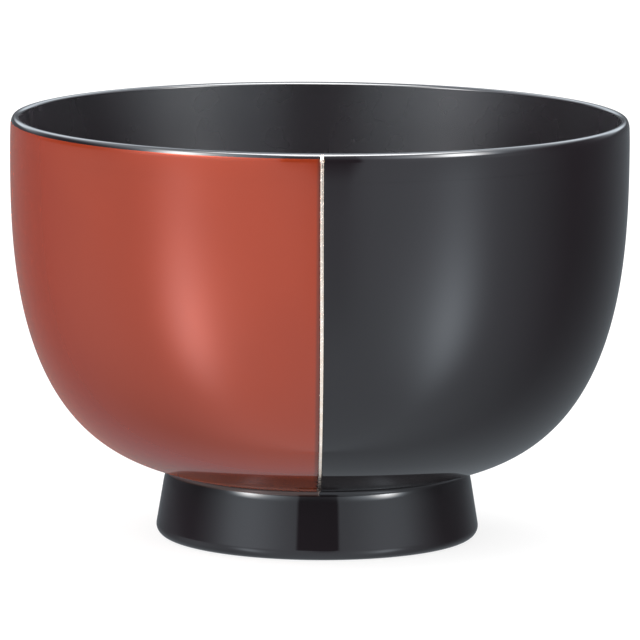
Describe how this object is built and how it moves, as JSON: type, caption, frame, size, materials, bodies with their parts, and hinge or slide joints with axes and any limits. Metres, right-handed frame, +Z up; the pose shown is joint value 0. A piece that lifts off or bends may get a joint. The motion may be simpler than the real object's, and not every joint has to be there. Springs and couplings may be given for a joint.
{
  "type": "lacquered soup bowl",
  "caption": "Deep round lacquered wooden soup bowl on a flared foot ring, black inside, outside half red and half black with a pale line between.",
  "frame": {"origin": "the bowl's axis at the table, under the middle of the foot ring", "axes": "+Z up along the bowl's axis; the red half faces -X, the black half +X, and the pale lines lie in the YZ plane with the front one at -Y"},
  "size_m": [0.112, 0.1122, 0.0765],
  "materials": {
    "turned_wood": "fine turned hardwood, fully coated",
    "black_lacquer": "polished black lacquer, high gloss",
    "red_lacquer": "polished vermilion lacquer, high gloss",
    "seam_metal": "pale metal powder set in lacquer, burnished"
  },
  "bodies": {
    "root": {"wood_body": "turned_wood", "inner_lacquer": "black_lacquer", "rim_lacquer": "black_lacquer", "red_outer_lacquer": "red_lacquer", "black_outer_lacquer": "black_lacquer", "front_seam_line": "seam_metal", "rear_seam_line": "seam_metal", "foot_lacquer": "black_lacquer"}
  },
  "joints": []
}
